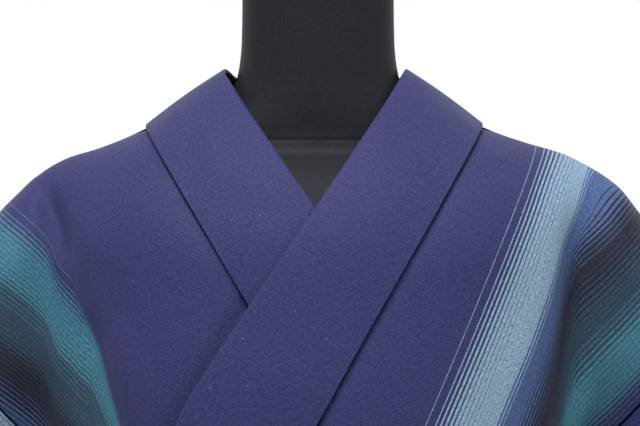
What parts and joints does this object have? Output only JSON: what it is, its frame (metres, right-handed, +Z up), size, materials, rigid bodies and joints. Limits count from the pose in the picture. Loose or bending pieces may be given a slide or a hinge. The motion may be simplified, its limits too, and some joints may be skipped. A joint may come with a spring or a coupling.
{
  "type": "kimono on a dress form with stand",
  "caption": "Women's kimono with gradated stripes, worn closed with a plain sash on a black limbless dress form and round-based stand.",
  "frame": {"origin": "centre of the underside of the stand's round base, on the floor", "axes": "+Z up; the front faces -Y; the wearer's left is +X"},
  "size_m": [0.89, 0.3, 1.4783],
  "materials": {
    "kimono_cloth": "fine ribbed plain weave, matt with a slight sheen, gradated stripes",
    "collar_cloth": "fine ribbed plain weave, matt with a slight sheen, plain navy",
    "sash_cloth": "plain weave, matt",
    "form_cover": "smooth stretched jersey, slight sheen",
    "stand_metal": "satin black powder coat"
  },
  "bodies": {
    "root": {"body_left": "kimono_cloth", "body_right": "kimono_cloth", "overlap_left": "kimono_cloth", "overlap_right": "kimono_cloth", "collar": "collar_cloth", "sleeve_left": "kimono_cloth", "sleeve_right": "kimono_cloth", "sash": "sash_cloth", "dress_form": "form_cover", "neck_cap": "form_cover", "stand_pole": "stand_metal", "stand_base": "stand_metal"}
  },
  "joints": []
}
